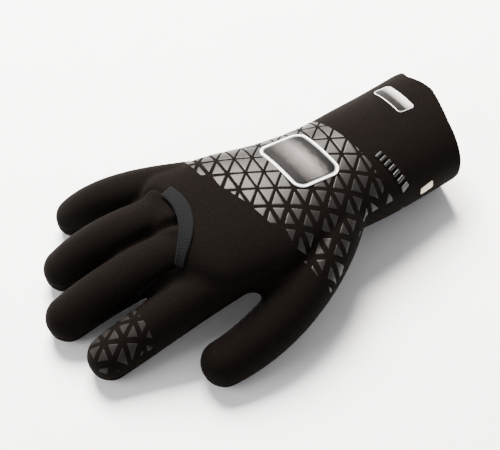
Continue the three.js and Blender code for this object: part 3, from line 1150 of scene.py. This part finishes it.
@dataclass
class Glove:
    """What every sub-assembly shares: the form, the seam, the skin with its fields, and the finishes.

    A seam is a groove whose depth falls off by a bell curve on both sides. The middle fingers' panel is sunk
    along the curved seam, comes up again over a short run, and isn't sunk at the seam's little finger end.
    """

    form: HandForm
    finishes: Finishes
    groove: float = 0.75
    groove_width: float = 1.15
    sink: float = 2.2
    sink_run: float = 9.0
    sink_from: tuple[float, float] = (3, 18)
    calm_rounds: int = 24
    even_rounds: int = 8
    even_share: float = 0.6
    valleys: tuple[Valley, ...] = (
        Valley("ring", "middle", 0.20, 0.74, 4.6, 2.8),
        Valley("middle", "index", 0.44, 0.80, 3.0, 2.6),
    )

    def __post_init__(self) -> None:
        """Draws the skin, sets its fields, and places the badge and the label."""
        self.seam = KnuckleSeam(self.form)
        self.skin = self.form.skin(self.seam.plan())
        data = self.skin.data
        data["plain"] = self.skin.at.copy()
        data["parting"] = self.form.parting(self.skin.at)
        data["panel"] = outline_distance(self.skin.at, self.seam.plan())
        data["at"] = self.shaped()
        data["mouth"] = self.form.from_mouth(self.skin.at)
        past_mouth = self.skin.at[data["mouth"] > 0]
        middle = (past_mouth.min(0) + past_mouth.max(0)) / 2
        self.offset = np.array([-middle[0], -middle[1], 0.0])
        self.badge = self.oblong(0.59, 0.07 * self.form.palm_width, 42, 32, 7, -0.1)
        self.label = self.oblong(0.13, 0.17 * self.form.cuff_width, 27, 12, 2.5, -0.03)
        LOG.info("skin: %d triangles", len(self.skin.tris))

    def shaped(self) -> np.ndarray:
        """The skin's places with the seams sunk and the valleys pressed in.

        Returns:
            The places.
        """
        at, normal = self.skin.at, self.skin.data["normal"]
        parting, panel = self.skin.data["parting"], self.skin.data["panel"]
        edges = self.skin.edges()
        facing_up = np.clip(normal[:, 2:], 0, 1) ** 2
        for _ in range(self.calm_rounds):
            facing_up = self.skin.spread(facing_up, edges)
        facing_up = facing_up[:, 0]
        on_back = ease(parting, -1.0, 2.0)
        past_end = ease(np.linalg.norm(at[:, :2] - self.seam.line()[0], axis=1), *self.sink_from)
        depth = self.groove * np.exp(-(parting / self.groove_width) ** 2)
        depth += self.groove * on_back * np.exp(-(panel / self.groove_width) ** 2)
        sunk = self.sink * on_back * facing_up * past_end * ease(panel, -0.6, 0.6)
        depth += sunk * np.exp(-np.abs(panel) / self.sink_run)
        at = at - normal * depth[:, None]
        for valley in self.valleys:
            pressed = on_back * ease(panel, -0.5, 1.0) * valley.pressed(self.form, at)
            evened = self.even_share * ease(pressed, 0.05, 1.0)[:, None]
            for _ in range(self.even_rounds):
                at = at + evened * (self.skin.spread(at, edges) - at)
            at[:, 2] -= facing_up * pressed
        at[:, 2] = np.maximum(at[:, 2], 0)
        return at

    def oblong(self, share: float, aside: float, long: float, wide: float, corner: float,
               skew: float) -> Rounded:
        """An oblong whose middle is at a share of the way through the body, moved aside."""
        middle = self.form.body.at(share)[0]
        return Rounded((middle[0], middle[1] + aside), long, wide, corner, skew)

    def back(self) -> Surface:
        """The skin above the parting sheet and inside the mouth."""
        skin = self.skin.keep(self.skin.data["mouth"])
        return skin.keep(skin.data["parting"])

    def laid(self, name: str, near: Surface, inside: np.ndarray, thick: float,
             material: bpy.types.Material, lift: float = 0.1, round_over: float = 0.3) -> bpy.types.Object:
        """A thin piece laid on part of the skin, whose top edges are rounded.

        The top is thick above the base where it is round_over or more inside the outline, and falls to a
        third of that at the outline, along a quarter of an ellipse.

        Args:
            name: The piece's name.
            near: The skin round about the piece.
            inside: How far inside the piece's outline each vertex of that is, in millimetres.
            thick: The piece's thickness.
            material: Its finish.
            lift: How far its base is above the skin.
            round_over: The width of its rounded edge.

        Returns:
            The object.
        """
        near.data["inside"] = inside
        part = near.keep(inside)
        normals = part.data["normal"]
        share = 1 - np.clip(part.data["inside"] / round_over, 0, 1)
        height = thick * (1 / 3 + 2 / 3 * np.sqrt(1 - share * share))
        top = part.at + normals * (lift + height)[:, None]
        return Layer(name, part, top, part.at + normals * lift, [material]).build(self.offset)


@dataclass
class Panels:
    """The three sewn panels of neoprene, as shells of the wall's thickness.

    wave holds how far the mouth's edge comes forward, by the angle round the cuff in degrees.
    """

    glove: Glove
    wall: float = 5.0
    gap: float = 0.3
    lowest_inside: float = 1.2
    wave: tuple[tuple[float, float], ...] = (
        (0, 0.5), (18, 0.8), (38, -2.2), (58, 1.5), (76, 3.4), (98, 2.2), (130, 0.4), (165, 0.8), (200, 0),
        (270, 0), (330, 0), (360, 0.5))
    scallop: float = 0.35
    scallop_run: float = 2.6
    inner_rounds: int = 12

    def mouth_wave(self, at: np.ndarray) -> np.ndarray:
        """How far the mouth's edge comes forward beside points, with its small scallops.

        Args:
            at: The points.

        Returns:
            The length at each, in millimetres.
        """
        form = self.glove.form
        middle = form.body.at(0)[0]
        turn = np.degrees(np.arctan2(at[:, 2] - middle[2], at[:, 1] - middle[1])) % 360
        around = np.radians(turn) * form.cuff_width / 2
        angles, lengths = np.array(self.wave).T
        scallops = self.scallop / 2 * np.sin(around / self.scallop_run * 2 * np.pi)
        return np.interp(turn, angles, lengths) + scallops

    def build(self) -> list[bpy.types.Object]:
        """Makes the panels.

        The inner surface lies a wall's thickness inside the skin, along directions that are evened first.

        Returns:
            The three panels.
        """
        skin = self.glove.skin
        edges = skin.edges()
        inward = skin.data["normal"]
        for _ in range(self.inner_rounds):
            inward = unit(skin.spread(inward, edges) + inward)
        skin.data["inward"] = inward
        open_skin = skin.keep(skin.data["mouth"] + self.mouth_wave(skin.at))
        halves = self.gap / 2
        backs = open_skin.keep(open_skin.data["parting"] - halves)
        surfaces = {
            "palm_panel": open_skin.keep(-open_skin.data["parting"] - halves),
            "back_panel": backs.keep(-backs.data["panel"] - halves),
            "middle_fingers_panel": backs.keep(backs.data["panel"] - halves),
        }
        finishes = self.glove.finishes
        pieces = []
        for name, surface in surfaces.items():
            base = surface.at - surface.data["inward"] * self.wall
            base[:, 2] = np.maximum(base[:, 2], self.lowest_inside)
            layer = Layer(f"{name}_shell", surface, surface.at, base,
                          [finishes.jersey, finishes.foam, finishes.lining])
            piece = layer.build(self.glove.offset)
            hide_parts(name)
            pieces.append(piece)
        return pieces


@dataclass
class KnuckleTape:
    """The knitted tape over the curved seam, more to the cuff's side of it and narrower at its ends.

    It lies on the skin as that was before the seam was sunk, so it bridges the valleys beside it.
    """

    glove: Glove
    width: float = 9.2
    end_share: float = 0.62
    thick: float = 1.3
    lift: float = 0.15
    round_over: float = 0.9
    aside: float = 1.4
    ends: tuple[float, float] = (9.5, 0.5)
    reach: float = 12.0

    def build(self) -> list[bpy.types.Object]:
        """Makes the tape.

        Returns:
            The one object.
        """
        back, seam = self.glove.back(), self.glove.seam
        length = np.linalg.norm(np.diff(seam.line(), axis=0), axis=1).sum()
        near = back.keep(self.reach - np.abs(back.data["panel"])).refined()
        near.data["at"] = near.data["plain"]
        near.data["uv"] = seam.along(near.at)
        along, across = near.data["uv"].T
        bow = np.sin(np.clip(along / length, 0, 1) * np.pi) ** 0.5
        half = self.width / 2 * (self.end_share + (1 - self.end_share) * bow)
        from_ends = np.minimum(along - self.ends[0], length - self.ends[1] - along)
        inside = np.minimum(half - np.abs(across - self.aside), from_ends)
        piece = self.glove.laid("knuckle_tape_strip", near, inside, self.thick, self.glove.finishes.knit,
                                self.lift, self.round_over)
        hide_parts("knuckle_tape")
        return [piece]


@dataclass
class Marks:
    """The badge on the back of the hand, and the label and plain bars on the cuff."""

    glove: Glove
    round_over: float = 0.35
    margin: float = 3.0
    bars_from: tuple[float, float] = (-55.9, -14.2)
    bars_to: tuple[float, float] = (-49.1, -33.6)
    bars: int = 7
    bar: tuple[float, float, float] = (6.0, 1.7, 0.6)
    bar_thick: float = 0.7
    side_bar: Rounded = Rounded((-32, 31.5), 5.5, 10, 1.0)
    side_bar_reach: float = 14.0
    side_bar_thick: float = 0.4
    side_from: float = 22.0

    def band(self, name: str, shape: Rounded, inner: float, outer: float, thick: float,
             material: bpy.types.Material, fine: int = 2) -> bpy.types.Object:
        """A layer between two distances inside an oblong.

        Args:
            name: The piece's name.
            shape: The oblong.
            inner: The distance inside the oblong at which the layer starts.
            outer: The distance at which it ends, or infinity for one without an inner outline.
            thick: The layer's thickness.
            material: Its finish.
            fine: How many times its triangles are cut in four.

        Returns:
            The object.
        """
        back = self.glove.back()
        near = back.keep(shape.distance(back.at) + self.margin)
        for _ in range(fine):
            near = near.refined()
        x, y = shape.local(near.at)
        near.data["uv"] = np.stack([x + shape.wide / 2, y + shape.long / 2], axis=1)
        inside = shape.distance(near.at)
        return self.glove.laid(name, near, np.minimum(inside - inner, outer - inside), thick, material,
                               round_over=self.round_over)

    def cuff_bars(self) -> bpy.types.Object:
        """A row of short raised bars across the cuff, set in plan.

        Returns:
            The object.
        """
        start, end = np.array(self.bars_from), np.array(self.bars_to)
        run = end - start
        turn = math.degrees(math.atan2(run[1], run[0]))
        places = start + run * np.linspace(0, 1, self.bars)[:, None]
        back = self.glove.back()
        away = np.linalg.norm(back.at[:, :2] - (start + end) / 2, axis=1)
        near = back.keep(self.bar[0] + self.margin + np.linalg.norm(run) / 2 - away).refined().refined()
        shapes = [Rounded(tuple(place), *self.bar, turn=turn) for place in places]
        inside = np.max([shape.distance(near.at) for shape in shapes], axis=0)
        return self.glove.laid("cuff_bars", near, inside, self.bar_thick, self.glove.finishes.gloss)

    def cuff_side_bar(self) -> bpy.types.Object:
        """A short cream bar on the thumb's side of the cuff, set by its place along X and its height.

        Returns:
            The object.
        """
        back = self.glove.back()
        away = np.abs(back.at[:, 0] - self.side_bar.middle[0])
        near = back.keep(np.minimum(-self.side_from - back.at[:, 1], self.side_bar_reach - away))
        near = near.keep(near.data["parting"] - 0.6).refined().refined()
        inside = self.side_bar.distance(near.at[:, [0, 2]])
        return self.glove.laid("cuff_side_bar", near, inside, self.side_bar_thick, self.glove.finishes.cream)

    def build(self) -> list[bpy.types.Object]:
        """Makes the badge, the label and the bars.

        Returns:
            The objects, those on the hand first.
        """
        badge, label, finishes = self.glove.badge, self.glove.label, self.glove.finishes
        on_hand = [
            self.band("back_badge_edge", badge, 0.0, 1.5, 0.9, finishes.white_edge, 3),
            self.band("back_badge_line", badge, 1.6, 2.3, 0.75, finishes.grey_line, 3),
            self.band("back_badge_face", badge, 2.4, math.inf, 0.8, finishes.badge),
        ]
        on_cuff = [
            self.band("cuff_label_edge", label, 0.0, 0.5, 0.6, finishes.white_edge, 3),
            self.band("cuff_label_face", label, 0.6, math.inf, 0.7, finishes.label),
            self.cuff_side_bar(),
            self.cuff_bars(),
        ]
        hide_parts("back_badge")
        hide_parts("cuff_label")
        return on_hand + on_cuff


@dataclass(frozen=True)
class Lattice:
    """Three families of lines that leave triangles between them, set in plan.

    Rows run in a direction turn degrees from X towards -Y. row is a row's height, base a triangle's base and
    lean how far each row is shifted along itself. start is where a row's line meets two slanted ones.
    """

    start: tuple[float, float]
    turn: float
    row: float
    base: float
    lean: float = 0.0

    def inside(self, at: np.ndarray) -> np.ndarray:
        """How far points are from the nearest line, in millimetres.

        Args:
            at: The points.

        Returns:
            The distances.
        """
        cos, sin = math.cos(math.radians(self.turn)), math.sin(math.radians(self.turn))
        x, y = at[:, 0] - self.start[0], at[:, 1] - self.start[1]
        rows = (-x * sin - y * cos) / self.row
        bases = (x * cos - y * sin - self.lean * rows) / self.base
        slants = [math.hypot(1 / self.base, HALF * side / self.row - self.lean / self.row / self.base)
                  for side in (1, -1)]
        runs = ((rows, self.row), (bases + rows / 2, 1 / slants[0]), (bases - rows / 2, 1 / slants[1]))
        return np.min([np.abs(count - np.round(count)) * step for count, step in runs], axis=0)


@dataclass
class Print:
    """Triangles of thin raised ink between the lines of a lattice, where the skin isn't too steep."""

    glove: Glove
    lattice: Lattice
    thick: float = 0.16
    lift: float = 0.05
    least_upright: float = 0.3

    def printed(self, name: str, near: Surface, gap: np.ndarray | float,
                ink: bpy.types.Material) -> list[bpy.types.Object]:
        """Makes the print.

        Args:
            name: The piece's name.
            near: The part of the skin that is printed.
            gap: How far the ink stays away from the lattice's lines.
            ink: The finish.

        Returns:
            The one object.
        """
        inside = self.lattice.inside(near.at) - gap
        piece = self.glove.laid(name, near, inside, self.thick, ink, self.lift)
        return [piece]


@dataclass
class GripPrint(Print):
    """The printed triangles over the wrist and the back of the hand, inside an outline in plan."""

    lattice: Lattice = Lattice((-144.4, 2.9), 28.2, 13.0, 10.8, 0.67)
    fine_gap: float = 0.66
    coarse_gap: float = 1.75
    to_thumb: tuple[float, float] = (-2, 44)
    end_gap: float = 0.65
    to_fingers: tuple[float, float] = (134, 158)
    from_parting: float = 0.5
    from_badge: float = 0.1
    outline: tuple[tuple[float, float], ...] = (
        (-157, 80), (-157.2, 27), (-151.8, 10.7), (-145, -9.6), (-141.4, -25.8), (-134.1, -43.8), (-131, -57),
        (-130, -80), (-60, -80), (-58.5, -37.4), (-63.5, -32.5), (-63.7, -18.1), (-65.6, -2.4), (-69.4, 19),
        (-72, 34), (-80, 80))

    def build(self) -> list[bpy.types.Object]:
        """Makes the print. The lines between its triangles widen towards the thumb and the fingers.

        Returns:
            The one object.
        """
        back = self.glove.back()
        near = back.keep(outline_distance(back.at, np.array(self.outline))).refined()
        near = near.keep(near.data["parting"] - self.from_parting)
        near = near.keep(-self.glove.badge.distance(near.at) - self.from_badge)
        near = near.keep(near.data["normal"][:, 2] - self.least_upright)
        gap = self.fine_gap + (self.coarse_gap - self.fine_gap) * ease(-near.at[:, 1], *self.to_thumb)
        gap += self.end_gap * ease(-near.at[:, 0], *self.to_fingers)
        return self.printed("grip_print", near, gap, self.glove.finishes.ink)


@dataclass
class FingertipPrint(Print):
    """The printed triangles on the back of the index finger's tip."""

    lattice: Lattice = Lattice((-244.8, -31.6), 34.2, 11.3, 11.1)
    gap: float = 1.45
    reach: float = 23.0
    half_width: float = 19.0
    from_parting: float = 0.6

    def build(self) -> list[bpy.types.Object]:
        """Makes the print, on the skin that is nearer to the index finger's path than to the middle's.

        Returns:
            The one object.
        """
        skin, paths = self.glove.skin, self.glove.form.paths
        tip = paths["index"].at(1.0)[0, :2]
        heading = unit(paths["index"].heading(1.0)[0, :2])
        beyond = skin.at[:, :2] - tip
        sideways = np.abs(beyond[:, 1] * heading[0] - beyond[:, 0] * heading[1])
        near = skin.keep(np.minimum(self.reach + beyond @ heading, self.half_width - sideways))
        near = near.keep(near.data["parting"] - self.from_parting)
        share = np.linspace(0.4, 1.0, 30)
        to_index, to_middle = (
            np.linalg.norm(near.at[:, None, :2] - paths[name].at(share)[:, :2], axis=-1).min(1)
            for name in ("index", "middle"))
        upright = near.data["normal"][:, 2] - self.least_upright
        near = near.keep(np.minimum(to_middle - to_index, upright)).refined()
        return self.printed("fingertip_print", near, self.gap, self.glove.finishes.dark_ink)


def towards(azimuth: float, elevation: float) -> Vector:
    """The direction from the glove to a place at an azimuth and an elevation in degrees."""
    turn, climb = math.radians(azimuth), math.radians(elevation)
    return Vector((math.sin(turn) * math.cos(climb), -math.cos(turn) * math.cos(climb), math.sin(climb)))


@dataclass(frozen=True)
class Lamp:
    """A square area lamp that faces the glove, at a distance and of a size in metres."""

    name: str
    azimuth: float
    elevation: float
    power: float
    colour: str = "ffffff"
    away: float = 1.6
    size: float = 0.9

    def build(self) -> None:
        """Makes the lamp."""
        light = bpy.data.lights.new(self.name, "AREA")
        light.size = self.size
        light.energy = self.power
        light.color = linear(self.colour)[:3]
        lamp = bpy.data.objects.new(self.name, light)
        back = towards(self.azimuth, self.elevation)
        facing = back.to_track_quat("Z", "Y").to_matrix().to_4x4()
        lamp.matrix_world = Matrix.Translation(back * self.away) @ facing
        bpy.context.scene.collection.objects.link(lamp)


@dataclass
class Studio:
    """The floor, the lights and the camera. The aim and the camera's distance are in millimetres."""

    aim: tuple[float, float, float] = (-4.3, -2.8, 30)
    azimuth: float = -32
    elevation: float = 53
    distance: float = 1000
    lens: float = 118.8
    sensor: float = 36
    floor_reach: float = 4.0
    surroundings: str = "f4f4f6"
    brightness: float = 0.62
    lamps: tuple[Lamp, ...] = (Lamp("key", -197, 50, 235, "fffaf4"), Lamp("side", -100, 35, 16))

    def floor(self) -> None:
        """Makes the white floor."""
        mesh = bpy.data.meshes.new("floor")
        reach = self.floor_reach
        corners = [(-reach, -reach, 0), (reach, -reach, 0), (reach, reach, 0), (-reach, reach, 0)]
        mesh.from_pydata(corners, [], [(0, 1, 2, 3)])
        mesh.materials.append(Plain("paper_floor", "ffffff", "fcfcfc", 40, 0.9, depth=0.01).build())
        floor = bpy.data.objects.new("floor", mesh)
        bpy.context.scene.collection.objects.link(floor)

    def camera(self) -> None:
        """Makes the camera, in the photo's place."""
        data = bpy.data.cameras.new("camera")
        data.lens = self.lens
        data.sensor_width = self.sensor
        camera = bpy.data.objects.new("camera", data)
        turn = math.radians(self.azimuth)
        back = towards(self.azimuth, self.elevation)
        right = Vector((math.cos(turn), math.sin(turn), 0))
        axes = Matrix((right, back.cross(right), back)).transposed().to_4x4()
        camera.matrix_world = Matrix.Translation((Vector(self.aim) + back * self.distance) * MM) @ axes
        bpy.context.scene.collection.objects.link(camera)
        bpy.context.scene.camera = camera

    def build(self) -> None:
        """Makes the studio."""
        world = bpy.data.worlds.new("studio")
        world.use_nodes = True
        background = world.node_tree.nodes["Background"].inputs
        background["Color"].default_value = linear(self.surroundings)
        background["Strength"].default_value = self.brightness
        bpy.context.scene.world = world
        self.floor()
        for lamp in self.lamps:
            lamp.build()
        self.camera()


def main() -> None:
    """Builds the studio and the glove."""
    logging.basicConfig(level=logging.INFO, format="%(name)s %(message)s")
    Studio().build()
    glove = Glove(HandForm(), Finishes())
    pieces = []
    for maker in (Panels, KnuckleTape, Marks, GripPrint, FingertipPrint):
        pieces += maker(glove).build()
    LOG.info("%d pieces", len(pieces))


if __name__ == "__main__":
    main()
